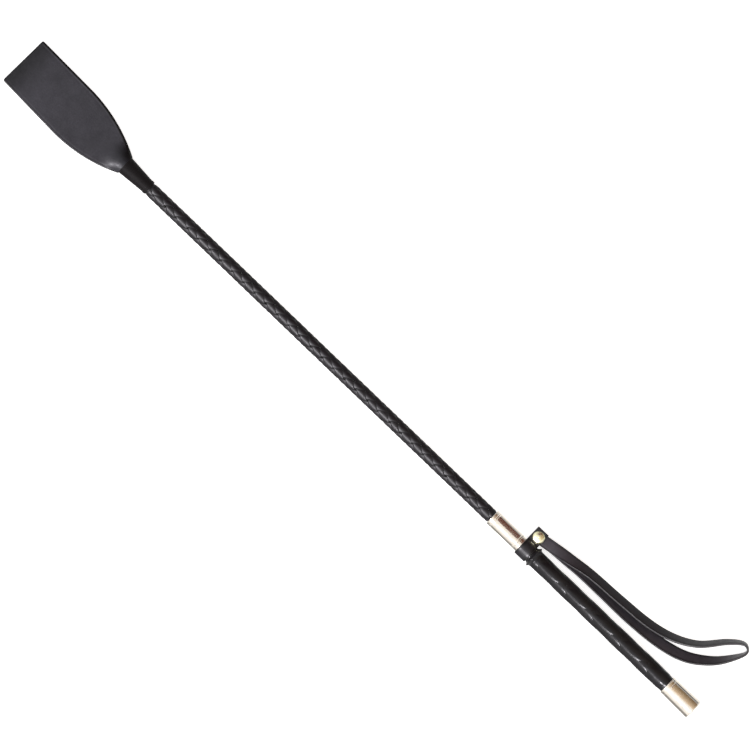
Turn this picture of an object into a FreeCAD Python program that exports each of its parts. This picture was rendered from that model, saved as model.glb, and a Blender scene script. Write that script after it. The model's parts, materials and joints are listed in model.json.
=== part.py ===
import FreeCAD, Part
import math
import os

# Riding crop. Millimetres. The crop's own axis is X: the butt end is at X = 0 and the tongue
# is at the far end, +Z is the normal of the tongue's face, and the wrist loop lies on the -Y side.

Vector = FreeCAD.Vector
X_AXIS = Vector(1, 0, 0)
ORIGIN = Vector(0, 0, 0)

# Driving sizes along the axis
LENGTH = 650.0
CAP_END = 25.7
GRIP_END = 151.0
RING_START = 151.6
COLLAR_START = 156.8
FERRULE_START = 156.6
FERRULE_END = 194.3
BINDING_START = 524.2
BINDING_END = 548.4

# Shaft
ROD_R = 3.0
ROD_START = 2.5
ROD_TIP_R = 1.4
ROD_TIP_START = 522.0
ROD_END = 546.0
SHAFT_R = 4.6
BRAID_START = 176.0
BRAID_END = 533.0

# Grip
GRIP_TUBE_START = 6.0
GRIP_IN_CAP_R = 6.2
GRIP_BUTT_R = 6.4
GRIP_BUTT_X = 30.0
GRIP_TOP_R = 5.9
GRIP_WHIPPING_R = 5.6
GRIP_CAP_GAP = 0.6
RING_TUBE_R = 2.4
RING_INNER_R = 5.65

# Butt cap
CAP_MOUTH_R = 7.0
CAP_BUTT_R = 7.5
CAP_EDGE_R = 1.2
CAP_WALL = 0.45
CAP_FLOOR = 0.8
CAP_RIM_R = 7.2
CAP_RIM_WIDTH = 0.8
PLUG_R = 6.2

# Ferrule
FERRULE_R = 5.9
FERRULE_BORE_R = 5.1
FERRULE_BEAD_R = 6.2
FERRULE_BEADS = (169.4, 191.9)
FERRULE_BEAD_HALF = 0.9
LINER_RECESS = 1.5

# Collar, rivet and the ends of the wrist strap
COLLAR_WIDTH = 9.6
COLLAR_BORE_R = 5.95
COLLAR_R = 7.4
TAB_REACH = 17.8
TAB_LEATHER = 1.2
RIVET_X = 161.0
RIVET_Y = -12.0
RIVET_POST_R = 1.6
RIVET_HOLE_R = 1.65
RIVET_CAP_R = 4.5
RIVET_CAP_HEIGHT = 2.2
RIVET_BASE_R = 4.2
RIVET_BASE_HEIGHT = 0.9
STRAP_WIDTH = 8.6
STRAP_THICK = 1.6
STRAP_GAP = 0.05
TAB_SLOT = 1.7
LOOP_HEADING = 9.0
FLEX_REACH = 10.0
FLEX_GAP = 1.6

# Wrist loop: where the strap's middle runs, from the tab round and back to it.
# Each point is (x, y, lift above lying on the surface, tilt of the face in degrees).
SURFACE_Z = -8.0
LOOP_ROUTE = [
    (134.0, -16.2, 5.8, 27),
    (116.0, -18.8, 3.9, 45),
    (90.0, -20.0, 2.5, 48),
    (64.0, -21.9, 1.0, 48),
    (45.0, -26.6, 0.1, 54),
    (29.0, -35.6, 0.1, 62),
    (16.0, -50.2, 0.1, 69),
    (6.5, -57.6, 0.1, 78),
    (1.0, -55.0, 0.1, 92),
    (4.5, -46.5, 0.1, 110),
    (14.0, -34.0, 0.1, 132),
    (29.0, -23.3, 0.1, 150),
    (48.0, -17.8, 0.1, 156),
    (74.0, -15.2, 0.2, 146),
    (100.0, -14.9, 0.8, 141),
    (122.0, -14.9, 2.0, 143),
    (136.0, -14.5, 4.2, 160),
]
LOOP_STEPS = 4
LOOP_LEAD = 14.0

# Tongue
LEAF_THICK = 2.0
TONGUE_GAP = 0.3
TONGUE_HINGE_X = BINDING_END + TONGUE_GAP + LEAF_THICK
TONGUE_NECK_HALF = 7.7
TONGUE_HALF = 20.0
TONGUE_TIP_HALF = 19.6
TONGUE_WIDEST_X = 601.0
TONGUE_DROP = 5.9
TONGUE_LEAN = 1.9
TONGUE_OVERRUN = 5.0

# Tongue binding
BINDING_LIP_WIDTH = 1.2
BINDING_BUMP_WIDTH = 1.0
BINDING_CONE_OFFSET = 3.6
BINDING_LIP_R = 4.7
BINDING_BUMP_R = 5.5
BINDING_SHAFT_R = 5.3
BINDING_MOUTH_R = 6.95
WHIPPING_START = 528.0
WHIPPING_R = 5.0
TAIL_START = 533.8
TAIL_MOUTH_R = 6.1


def revolved(profile):
    """Turn a closed outline of (x, radius) points round the crop's axis."""
    points = [Vector(x, radius, 0) for x, radius in profile]
    wire = Part.makePolygon(points + [points[0]])
    return Part.Face(wire).revolve(ORIGIN, X_AXIS, 360)


def tube(x_start, x_end, outer_r, inner_r):
    return revolved([(x_start, inner_r), (x_end, inner_r), (x_end, outer_r), (x_start, outer_r)])


def cylinder_x(x_start, x_end, radius):
    return Part.makeCylinder(radius, x_end - x_start, Vector(x_start, 0, 0), X_AXIS)


def box(low, high):
    size = Vector(*high) - Vector(*low)
    return Part.makeBox(size.x, size.y, size.z, Vector(*low))


def arc_points(centre, radius, start_deg, end_deg, count):
    """Points of an arc in the (x, radius) plane."""
    points = []
    for i in range(count + 1):
        angle = math.radians(start_deg + (end_deg - start_deg) * i / count)
        points.append((centre[0] + radius * math.cos(angle), centre[1] + radius * math.sin(angle)))
    return points


# ---- shaft ----

def core_rod():
    return revolved([
        (ROD_START, 0), (ROD_END, 0), (ROD_END, ROD_TIP_R), (ROD_TIP_START, ROD_R), (ROD_START, ROD_R),
    ])


def shaft_braid():
    """The outer shape of the eight braided strands, from inside the ferrule to the binding."""
    return tube(BRAID_START, BRAID_END, SHAFT_R, ROD_R).cut(core_rod())


def tip_whipping():
    return tube(WHIPPING_START, BRAID_END, WHIPPING_R, SHAFT_R)


def tongue_binding():
    bump_start = BINDING_START + BINDING_LIP_WIDTH
    return revolved([
        (BINDING_START, SHAFT_R), (WHIPPING_START, SHAFT_R), (WHIPPING_START, WHIPPING_R),
        (TAIL_START, WHIPPING_R), (BINDING_END, TAIL_MOUTH_R), (BINDING_END, BINDING_MOUTH_R),
        (BINDING_START + BINDING_CONE_OFFSET, BINDING_SHAFT_R),
        (bump_start + BINDING_BUMP_WIDTH, BINDING_BUMP_R), (bump_start, BINDING_BUMP_R),
        (BINDING_START, BINDING_LIP_R),
    ])


def tongue_tail(side):
    """The bound end of one leaf: half of the space between the rod and the binding."""
    core = revolved([
        (TAIL_START, 0), (BINDING_END, 0), (BINDING_END, TAIL_MOUTH_R), (TAIL_START, WHIPPING_R),
    ])
    reach = BINDING_MOUTH_R + 1
    half_low = (TAIL_START, -reach, 0) if side > 0 else (TAIL_START, -reach, -reach)
    half_high = (BINDING_END, reach, reach) if side > 0 else (BINDING_END, reach, 0)
    return core.common(box(half_low, half_high)).cut(core_rod())


# ---- grip ----

def ferrule():
    outline = [(FERRULE_START, FERRULE_BORE_R), (FERRULE_END, FERRULE_BORE_R), (FERRULE_END, FERRULE_R)]
    for bead in reversed(FERRULE_BEADS):
        outline.append((bead + FERRULE_BEAD_HALF, FERRULE_R))
        outline.append((bead + FERRULE_BEAD_HALF / 2, FERRULE_BEAD_R))
        outline.append((bead - FERRULE_BEAD_HALF / 2, FERRULE_BEAD_R))
        outline.append((bead - FERRULE_BEAD_HALF, FERRULE_R))
    outline.append((FERRULE_START, FERRULE_R))
    return revolved(outline)


def ferrule_liner():
    return tube(FERRULE_START, FERRULE_END - LINER_RECESS, FERRULE_BORE_R, SHAFT_R)


def grip_tube():
    return tube(GRIP_TUBE_START, BRAID_START, SHAFT_R, ROD_R)


def grip_braid():
    """The outer shape of the plaited grip cover: thickest just above the butt cap."""
    return revolved([
        (GRIP_TUBE_START, SHAFT_R), (GRIP_END, SHAFT_R), (GRIP_END, GRIP_TOP_R),
        (GRIP_BUTT_X, GRIP_BUTT_R), (CAP_END + GRIP_CAP_GAP, GRIP_IN_CAP_R), (GRIP_TUBE_START, GRIP_IN_CAP_R),
    ])


def grip_end_whipping():
    return tube(GRIP_END, FERRULE_START, GRIP_WHIPPING_R, SHAFT_R)


def grip_top_ring():
    """A leather ring, half round in section."""
    centre = (RING_START + RING_TUBE_R, RING_INNER_R)
    ring_end = Vector(centre[0] + RING_TUBE_R, centre[1], 0)
    ring_start = Vector(centre[0] - RING_TUBE_R, centre[1], 0)
    crown = Vector(centre[0], centre[1] + RING_TUBE_R, 0)
    bulge = Part.Arc(ring_start, crown, ring_end).toShape()
    base = Part.makeLine(ring_end, ring_start)
    return Part.Face(Part.Wire([bulge, base])).revolve(ORIGIN, X_AXIS, 360)


def butt_cap():
    rim_start = CAP_END - CAP_RIM_WIDTH
    edge = arc_points((CAP_EDGE_R, CAP_BUTT_R - CAP_EDGE_R), CAP_EDGE_R, 180, 90, 6)
    return revolved(
        [(0, 0)] + edge
        + [(rim_start, CAP_MOUTH_R), (rim_start, CAP_RIM_R), (CAP_END, CAP_RIM_R)]
        + [(CAP_END, CAP_MOUTH_R - CAP_WALL), (CAP_EDGE_R, CAP_BUTT_R - CAP_WALL)]
        + [(CAP_FLOOR, CAP_BUTT_R - CAP_EDGE_R), (CAP_FLOOR, 0)]
    )


def butt_plug():
    return cylinder_x(CAP_FLOOR, GRIP_TUBE_START, PLUG_R).cut(core_rod())


# ---- collar and rivet ----

def rivet_hole(radius):
    """A cutter through the whole tab, longer than the tab is thick."""
    reach = COLLAR_R
    return Part.makeCylinder(radius, 2 * reach, Vector(RIVET_X, RIVET_Y, -reach))


def collar_strap():
    """One strap round the ferrule, with its two ends pinched into a tab on the -Y side."""
    collar_end = COLLAR_START + COLLAR_WIDTH
    half_tab = TAB_SLOT + TAB_LEATHER
    band = cylinder_x(COLLAR_START, collar_end, COLLAR_R)
    tab = box((COLLAR_START, -TAB_REACH, -half_tab), (collar_end, 0, half_tab))
    slot = box((COLLAR_START - 1, -TAB_REACH - 1, -TAB_SLOT), (collar_end + 1, 0, TAB_SLOT))
    bore = cylinder_x(COLLAR_START - 1, collar_end + 1, COLLAR_BORE_R)
    strap = band.fuse(tab).cut(slot).cut(bore).cut(rivet_hole(RIVET_POST_R))
    return strap.removeSplitter()


def dome(base_r, height, z_base, up):
    """A shallow spherical cap standing on the plane z_base."""
    sphere_r = (base_r ** 2 + height ** 2) / (2 * height)
    centre = Vector(RIVET_X, RIVET_Y, z_base - up * (sphere_r - height))
    slab_low = z_base if up > 0 else z_base - height
    slab = Part.makeCylinder(base_r, height, Vector(RIVET_X, RIVET_Y, slab_low))
    return Part.makeSphere(sphere_r, centre).common(slab)


def rivet_cap():
    """The domed cap in front, with the post that goes through the tab and both strap ends."""
    half_tab = TAB_SLOT + TAB_LEATHER
    post = Part.makeCylinder(RIVET_POST_R, 2 * half_tab, Vector(RIVET_X, RIVET_Y, -half_tab))
    return dome(RIVET_CAP_R, RIVET_CAP_HEIGHT, half_tab, 1).fuse(post).removeSplitter()


def rivet_base():
    return dome(RIVET_BASE_R, RIVET_BASE_HEIGHT, -TAB_SLOT - TAB_LEATHER, -1)


# ---- wrist strap ----

def heading():
    """Unit vector along the strap where it leaves the rivet."""
    angle = math.radians(180 + LOOP_HEADING)
    return Vector(math.cos(angle), math.sin(angle), 0)


def strap_end(side):
    """One end of the wrist strap: round about the rivet, and straight out of the tab."""
    low = STRAP_GAP if side > 0 else -STRAP_GAP - STRAP_THICK
    eye = Part.makeCylinder(STRAP_WIDTH / 2, STRAP_THICK, Vector(RIVET_X, RIVET_Y, low))
    length = FLEX_REACH - FLEX_GAP
    run = box((0, -STRAP_WIDTH / 2, low), (length, STRAP_WIDTH / 2, low + STRAP_THICK))
    run.rotate(ORIGIN, Vector(0, 0, 1), 180 + LOOP_HEADING)
    run.translate(Vector(RIVET_X, RIVET_Y, 0))
    return eye.fuse(run).cut(rivet_hole(RIVET_HOLE_R)).removeSplitter()


def strap_stations():
    """The loop's route with its first and last points, which lie on the strap's two ends."""
    start = Vector(RIVET_X, RIVET_Y, 0) + heading() * (FLEX_REACH + FLEX_GAP)
    lie_flat = SURFACE_Z + STRAP_THICK / 2
    strand_z = STRAP_GAP + STRAP_THICK / 2
    first = (start.x, start.y, strand_z - lie_flat, 0)
    last = (start.x, start.y, -strand_z - lie_flat, 180)
    return [first] + LOOP_ROUTE + [last]


def smooth(points, steps):
    """A Catmull-Rom curve through the points, whose ends follow the strap's heading."""
    lead = heading() * LOOP_LEAD
    before = (points[0][0] - lead.x, points[0][1] - lead.y, points[0][2], points[0][3])
    after = (points[-1][0] - lead.x, points[-1][1] - lead.y, points[-1][2], points[-1][3])
    padded = [before] + points + [after]
    curve = []
    for i in range(1, len(padded) - 2):
        for step in range(steps):
            curve.append(catmull_rom(padded[i - 1:i + 3], step / steps))
    return curve + [points[-1]]


def catmull_rom(four, t):
    a, b, c, d = four
    return tuple(
        0.5 * (2 * b[k] + (c[k] - a[k]) * t + (2 * a[k] - 5 * b[k] + 4 * c[k] - d[k]) * t ** 2
               + (3 * b[k] - a[k] - 3 * c[k] + d[k]) * t ** 3)
        for k in range(len(b))
    )


def strap_centre(station):
    x, y, lift, tilt = station
    turn = math.radians(tilt)
    half_height = abs(math.sin(turn)) * STRAP_WIDTH / 2 + abs(math.cos(turn)) * STRAP_THICK / 2
    return Vector(x, y, SURFACE_Z + half_height + lift)


def strap_section(centre, forward, tilt):
    """The strap's rectangle at one place: its face is tilted outwards by the given angle."""
    side = Vector(0, 0, 1).cross(forward).normalize()
    up = forward.cross(side)
    turn = math.radians(tilt)
    across = side * math.cos(turn) - up * math.sin(turn)
    face = side * math.sin(turn) + up * math.cos(turn)
    half_across = across * (STRAP_WIDTH / 2)
    half_face = face * (STRAP_THICK / 2)
    corners = [
        centre + half_across + half_face, centre - half_across + half_face,
        centre - half_across - half_face, centre + half_across - half_face,
    ]
    return Part.makePolygon(corners + [corners[0]])


def wrist_loop():
    stations = smooth(strap_stations(), LOOP_STEPS)
    centres = [strap_centre(station) for station in stations]
    sections = []
    for i, centre in enumerate(centres):
        ahead = centres[min(i + 1, len(centres) - 1)]
        behind = centres[max(i - 1, 0)]
        if i == 0:
            forward = heading()
        elif i == len(centres) - 1:
            forward = heading() * -1
        else:
            forward = (ahead - behind).normalize()
        sections.append(strap_section(centre, forward, stations[i][3]))
    return Part.makeLoft(sections, True, True)


# ---- tongue ----

def tongue_side_profile(side):
    """One leaf seen from the side: a slow droop, with a rounded end at the neck."""
    hinge = Vector(TONGUE_HINGE_X, 0, 0)
    run = LENGTH - TONGUE_HINGE_X
    bend_r = (run ** 2 + TONGUE_DROP ** 2) / (2 * TONGUE_DROP)
    centre = Vector(TONGUE_HINGE_X, 0, -bend_r)
    sweep = math.asin(run / bend_r)

    def bent(radius, angle):
        return centre + Vector(math.sin(angle), 0, math.cos(angle)) * radius

    outer_r = bend_r + side * LEAF_THICK
    middle = Part.Arc(bent(bend_r, 0), bent(bend_r, sweep / 2), bent(bend_r, sweep)).toShape()
    face = Part.Arc(bent(outer_r, 0), bent(outer_r, sweep / 2), bent(outer_r, sweep)).toShape()
    tip = Part.makeLine(bent(bend_r, sweep), bent(outer_r, sweep))
    corner = LEAF_THICK * math.sqrt(0.5)
    back = hinge - Vector(LEAF_THICK, 0, 0)
    round_middle = hinge + Vector(-corner, 0, side * corner)
    neck = Part.Arc(bent(outer_r, 0), round_middle, back).toShape()
    heel = Part.makeLine(back, hinge)
    return Part.Wire(Part.__sortEdges__([middle, tip, face, neck, heel]))


def tongue_outline():
    """The leaf in plan: round shoulders from the neck to the widest place, then nearly straight."""
    neck_x = BINDING_END - 1
    run = TONGUE_WIDEST_X - neck_x
    rise = TONGUE_HALF - TONGUE_NECK_HALF
    shoulder_r = (run ** 2 + rise ** 2) / (2 * rise)
    half_angle = math.asin(run / shoulder_r) / 2
    mid_x = TONGUE_WIDEST_X - shoulder_r * math.sin(half_angle)
    mid_y = TONGUE_HALF - shoulder_r * (1 - math.cos(half_angle))
    tip_x = LENGTH + TONGUE_OVERRUN
    edges = []
    for sign in (1, -1):
        neck = Vector(neck_x, sign * TONGUE_NECK_HALF, 0)
        middle = Vector(mid_x, sign * mid_y, 0)
        widest = Vector(TONGUE_WIDEST_X, sign * TONGUE_HALF, 0)
        tip = Vector(tip_x, sign * TONGUE_TIP_HALF, 0)
        edges.append(Part.Arc(neck, middle, widest).toShape())
        edges.append(Part.makeLine(widest, tip))
    edges.append(Part.makeLine(Vector(neck_x, TONGUE_NECK_HALF, 0), Vector(neck_x, -TONGUE_NECK_HALF, 0)))
    edges.append(Part.makeLine(Vector(tip_x, TONGUE_TIP_HALF, 0), Vector(tip_x, -TONGUE_TIP_HALF, 0)))
    return Part.Wire(Part.__sortEdges__(edges))


def tongue_leaf(side):
    reach = 1.5 * TONGUE_HALF
    slab = Part.Face(tongue_side_profile(side)).extrude(Vector(0, 2 * reach, 0))
    slab.translate(Vector(0, -reach, 0))
    plan = Part.Face(tongue_outline()).extrude(Vector(0, 0, 2 * reach))
    plan.translate(Vector(0, 0, -reach))
    plan.rotate(Vector(TONGUE_HINGE_X, 0, 0), Vector(0, 0, 1), -TONGUE_LEAN)
    return slab.common(plan)


PARTS = {
    "core_rod": core_rod,
    "shaft_braid": shaft_braid,
    "tip_whipping": tip_whipping,
    "tongue_front_tail": lambda: tongue_tail(1),
    "tongue_back_tail": lambda: tongue_tail(-1),
    "tongue_binding": tongue_binding,
    "ferrule": ferrule,
    "ferrule_liner": ferrule_liner,
    "grip_tube": grip_tube,
    "grip_braid": grip_braid,
    "grip_end_whipping": grip_end_whipping,
    "grip_top_ring": grip_top_ring,
    "butt_cap": butt_cap,
    "butt_plug": butt_plug,
    "collar_strap": collar_strap,
    "rivet_cap": rivet_cap,
    "rivet_base": rivet_base,
    "strap_front_end": lambda: strap_end(1),
    "strap_back_end": lambda: strap_end(-1),
    "wrist_loop": wrist_loop,
    "tongue_front_leaf": lambda: tongue_leaf(1),
    "tongue_back_leaf": lambda: tongue_leaf(-1),
}


def main():
    os.makedirs("parts", exist_ok=True)
    for name, make in PARTS.items():
        shape = make()
        if not shape.isValid() or shape.Volume <= 0 or len(shape.Solids) != 1:
            print("CHECK", name, shape.isValid(), shape.Volume, len(shape.Solids))
        shape.exportStep("parts/" + name + ".step")
        bounds = shape.BoundBox
        print(f"{name:20s} {shape.Volume:10.1f} mm3  X {bounds.XMin:.1f}..{bounds.XMax:.1f}"
              f"  Y {bounds.YMin:.1f}..{bounds.YMax:.1f}  Z {bounds.ZMin:.2f}..{bounds.ZMax:.2f}")


main()
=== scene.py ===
import json
import math
import bpy
import numpy as np
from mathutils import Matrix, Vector


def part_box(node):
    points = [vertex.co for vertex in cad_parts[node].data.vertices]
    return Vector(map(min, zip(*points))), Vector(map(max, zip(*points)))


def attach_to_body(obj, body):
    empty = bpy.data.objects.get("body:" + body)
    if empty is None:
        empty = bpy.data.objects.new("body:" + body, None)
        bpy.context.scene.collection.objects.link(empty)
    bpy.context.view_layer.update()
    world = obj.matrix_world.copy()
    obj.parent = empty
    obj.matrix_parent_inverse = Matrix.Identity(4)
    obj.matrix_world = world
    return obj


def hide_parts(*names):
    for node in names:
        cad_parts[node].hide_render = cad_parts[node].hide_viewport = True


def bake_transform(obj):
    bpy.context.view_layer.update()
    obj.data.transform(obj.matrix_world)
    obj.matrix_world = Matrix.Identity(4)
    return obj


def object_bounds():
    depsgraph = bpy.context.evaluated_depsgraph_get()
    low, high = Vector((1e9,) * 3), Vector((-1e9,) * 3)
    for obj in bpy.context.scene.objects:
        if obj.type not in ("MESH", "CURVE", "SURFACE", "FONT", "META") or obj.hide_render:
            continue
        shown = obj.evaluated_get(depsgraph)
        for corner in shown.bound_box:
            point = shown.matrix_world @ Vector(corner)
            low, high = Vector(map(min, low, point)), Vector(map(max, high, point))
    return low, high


# Riding crop: the visual model round the CAD frame. The scene is in metres, and sizes are named in
# millimetres and multiplied by MM where the meshes are made. X runs from the butt to the tongue,
# +Z is up, and the wrist loop lies on the -Y side. The camera and the studio are placed in metres.

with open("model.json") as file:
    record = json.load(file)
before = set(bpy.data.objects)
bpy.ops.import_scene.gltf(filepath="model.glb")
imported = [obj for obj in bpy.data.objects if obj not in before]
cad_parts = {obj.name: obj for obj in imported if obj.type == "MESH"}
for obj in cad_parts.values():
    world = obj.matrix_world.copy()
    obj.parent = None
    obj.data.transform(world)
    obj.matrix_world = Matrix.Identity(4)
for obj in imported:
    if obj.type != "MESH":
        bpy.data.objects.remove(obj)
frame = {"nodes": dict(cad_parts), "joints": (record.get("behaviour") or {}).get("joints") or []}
cad_low, cad_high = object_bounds()

MM = 0.001
TAU = 2 * math.pi
SPANS = {}


def node_span(node):
    """(lowest, highest) corner of a CAD node in millimetres."""
    if node not in SPANS:
        low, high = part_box(node)
        SPANS[node] = (np.array(low) / MM, np.array(high) / MM)
    return SPANS[node]


def joint_place(name):
    """A joint's position in millimetres."""
    for joint in frame["joints"]:
        if joint["name"] == name:
            return np.array(joint["pos_m"]) / MM
    raise KeyError(name)


# ------------------------------------------------------------------ camera

VIEW_CENTRE = Vector((0.3200, -0.0148, 0.0))
VIEW_WIDTH = 0.5239
VIEW_TURN = math.radians(136.2)
CAMERA_HEIGHT = 7.0


def make_camera():
    """Straight down through a long lens, turned so that the butt is at the lower right."""
    data = bpy.data.cameras.new("camera")
    data.sensor_width = 36.0
    data.lens = data.sensor_width * CAMERA_HEIGHT / VIEW_WIDTH
    data.clip_end = 50.0
    camera = bpy.data.objects.new("camera", data)
    bpy.context.scene.collection.objects.link(camera)
    camera.location = VIEW_CENTRE + Vector((0, 0, CAMERA_HEIGHT))
    camera.rotation_euler = (0, 0, -VIEW_TURN)
    bpy.context.scene.camera = camera


# ------------------------------------------------------------------ meshes

def new_object(name, vertices, faces, material, marks):
    """A smooth mesh from points in mm. marks are numbers stored at its points for the materials:
    place is where the grain is read, edge is 1 on cut edges, and tone scales the colour: the flesh
    side's own lighter colour, and painted light and shade on the strap and the tongue."""
    mesh = bpy.data.meshes.new(name)
    mesh.from_pydata((np.asarray(vertices) * MM).tolist(), [], faces)
    mesh.polygons.foreach_set("use_smooth", [True] * len(mesh.polygons))
    stored = {"place": np.asarray(vertices), "edge": np.zeros(len(vertices)), "tone": np.ones(len(vertices))}
    stored.update(marks)
    for key, values in stored.items():
        values = np.asarray(values, np.float32)
        if key == "place":
            layer = mesh.attributes.new(key, "FLOAT_VECTOR", "POINT")
            layer.data.foreach_set("vector", values.reshape(-1, 3).ravel())
        else:
            mesh.attributes.new(key, "FLOAT", "POINT").data.foreach_set("value", values.ravel())
    mesh.materials.append(material)
    thing = bpy.data.objects.new(name, mesh)
    bpy.context.scene.collection.objects.link(thing)
    return thing


def loop_faces(rows, columns, closed_rows=False):
    """Quads between rings of points, with the ends capped unless the rows close on themselves."""
    faces = []
    for row in range(rows if closed_rows else rows - 1):
        here, there = row * columns, ((row + 1) % rows) * columns
        for column in range(columns):
            beside = (column + 1) % columns
            faces.append((here + column, here + beside, there + beside, there + column))
    if not closed_rows:
        faces.append(tuple(reversed(range(columns))))
        faces.append(tuple(range((rows - 1) * columns, rows * columns)))
    return faces


def ring_stack(name, rings, material, closed_rows=False, **marks):
    """A closed solid through a stack of rings, each an array of points in mm."""
    rings = np.asarray(rings, float)
    rows, columns = rings.shape[:2]
    return new_object(name, rings.reshape(-1, 3), loop_faces(rows, columns, closed_rows), material, marks)


def supported(profile, reach=0.25):
    """The closed outline with points added close to the ends of its long sides, to keep them flat."""
    result = []
    for i, corner in enumerate(profile):
        here, there = np.asarray(corner, float), np.asarray(profile[(i + 1) % len(profile)], float)
        length = np.linalg.norm(there - here)
        result.append(here)
        if length > reach * 4:
            step = (there - here) / length * reach
            result += [here + step, there - step]
    return result


def turned(name, profile, material, axis="x", centre=(0, 0, 0), segments=96, ripple=None):
    """A closed outline of (along, radius) points turned round an axis."""
    outline = np.asarray(supported(profile), float)
    rings = []
    for i in range(segments):
        angle = TAU * i / segments
        radius = outline[:, 1].copy()
        if ripple is not None:
            radius = radius + ripple(outline[:, 0], angle)
        if axis == "x":
            ring = np.stack([outline[:, 0], radius * math.cos(angle), radius * math.sin(angle)], 1)
        else:
            ring = np.stack([radius * math.cos(angle), radius * math.sin(angle), outline[:, 0]], 1)
        rings.append(ring + np.asarray(centre, float))
    return ring_stack(name, rings, material, closed_rows=True)


def rounded(points, radius=0.2, steps=3):
    """A closed outline with each corner replaced by a small round."""
    points = [np.asarray(p, float) for p in points]
    result = []
    for i, corner in enumerate(points):
        before, after = points[i - 1], points[(i + 1) % len(points)]
        back, ahead = before - corner, after - corner
        reach = min(radius, np.linalg.norm(back) * 0.45, np.linalg.norm(ahead) * 0.45)
        start = corner + back / np.linalg.norm(back) * reach
        end = corner + ahead / np.linalg.norm(ahead) * reach
        for step in range(steps + 1):
            t = step / steps
            result.append(start * (1 - t) ** 2 + corner * 2 * t * (1 - t) + end * t ** 2)
    return result


def rounded_open(points, radius=0.1):
    """Like rounded, for the middle of an open run: its two end points stay where they are."""
    soft = rounded(points, radius)
    steps = len(soft) // len(points)
    return [points[0]] + [tuple(p) for p in soft[steps:-steps]] + [points[-1]]


def smooth_step(value, low, high):
    """0 up to low, 1 from high, and a smooth rise between them."""
    t = np.clip((value - low) / (high - low), 0.0, 1.0)
    return t * t * (3 - 2 * t)


def wander(x, seed):
    """A slow, repeatable irregularity between about -1 and 1."""
    return (np.sin(x * 0.31 + seed * 1.7) + np.sin(x * 0.113 + seed * 4.1) * 1.3
            + np.sin(x * 0.73 + seed * 2.3) * 0.6) / 2.4


def attach(piece, body, slot, *nodes):
    """Say which body a piece rides on, and the CAD nodes that it replaces. slot is not used."""
    if body:
        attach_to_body(piece, body)
    if nodes:
        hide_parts(*nodes)


# ------------------------------------------------------------------ materials

def start_material(name):
    """A new material, with its nodes and its shader."""
    material = bpy.data.materials.new(name)
    material.use_nodes = True
    tree = material.node_tree
    shader = tree.nodes["Principled BSDF"]
    return material, tree, shader


def add(tree, kind, **values):
    """A new node, with its settings given by name."""
    node = tree.nodes.new(kind)
    for key, value in values.items():
        setattr(node, key, value)
    return node


def grain_place(tree, from_mesh=True):
    """Where the grain is read, in mm: stored on the mesh, or the object's own place for a CAD node."""
    if from_mesh:
        return add(tree, "ShaderNodeAttribute", attribute_name="place").outputs["Vector"]
    place = add(tree, "ShaderNodeTexCoord")
    scale = add(tree, "ShaderNodeVectorMath", operation="SCALE")
    scale.inputs["Scale"].default_value = 1 / MM
    tree.links.new(place.outputs["Object"], scale.inputs[0])
    return scale.outputs["Vector"]


def noise(tree, place, scale, detail=3.0, roughness=0.55, stretch=None):
    """A noise texture's factor. scale is its features per mm, more along an axis that stretch enlarges."""
    if stretch is not None:
        mapping = add(tree, "ShaderNodeMapping")
        mapping.inputs["Scale"].default_value = stretch
        tree.links.new(place, mapping.inputs["Vector"])
        place = mapping.outputs["Vector"]
    texture = add(tree, "ShaderNodeTexNoise")
    texture.inputs["Scale"].default_value = scale
    texture.inputs["Detail"].default_value = detail
    texture.inputs["Roughness"].default_value = roughness
    tree.links.new(place, texture.inputs["Vector"])
    return texture.outputs["Fac"]


def pebbles(tree, place, scale):
    """Rounded cells, for pebble grain."""
    texture = add(tree, "ShaderNodeTexVoronoi", feature="SMOOTH_F1")
    texture.inputs["Scale"].default_value = scale
    texture.inputs["Smoothness"].default_value = 0.6
    tree.links.new(place, texture.inputs["Vector"])
    return texture.outputs["Distance"]


def bump(tree, height, depth_mm, normal=None):
    node = add(tree, "ShaderNodeBump")
    node.inputs["Strength"].default_value = 1.0
    node.inputs["Distance"].default_value = depth_mm * MM
    tree.links.new(height, node.inputs["Height"])
    if normal is not None:
        tree.links.new(normal, node.inputs["Normal"])
    return node.outputs["Normal"]


def ramp(tree, factor, stops):
    """A colour ramp from (position, colour or grey) stops."""
    node = add(tree, "ShaderNodeValToRGB")
    elements = node.color_ramp.elements
    while len(elements) < len(stops):
        elements.new(0.5)
    for element, (position, colour) in zip(elements, stops):
        element.position = position
        element.color = (*colour, 1) if isinstance(colour, tuple) else (colour, colour, colour, 1)
    tree.links.new(factor, node.inputs["Fac"])
    return node.outputs["Color"]


def mixed(tree, factor, first, second, kind="MIX"):
    """Two colours, or sockets, mixed by a factor or a factor socket."""
    node = add(tree, "ShaderNodeMix", data_type="RGBA", blend_type=kind)
    for socket, value in ((node.inputs[0], factor), (node.inputs[6], first), (node.inputs[7], second)):
        if isinstance(value, (int, float)):
            socket.default_value = value
        elif isinstance(value, tuple):
            socket.default_value = (*value, 1)
        else:
            tree.links.new(value, socket)
    return node.outputs[2]


def edge_mask(tree, start, end):
    """0 in the middle of a strap, 1 on its cut edges."""
    edge = add(tree, "ShaderNodeAttribute", attribute_name="edge").outputs["Fac"]
    spread = add(tree, "ShaderNodeMapRange", interpolation_type="SMOOTHSTEP")
    spread.inputs["From Min"].default_value = start
    spread.inputs["From Max"].default_value = end
    tree.links.new(edge, spread.inputs["Value"])
    return spread.outputs["Result"]


def scaled(colour, factor):
    """A colour made darker or lighter."""
    return tuple(c * factor for c in colour)


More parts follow.
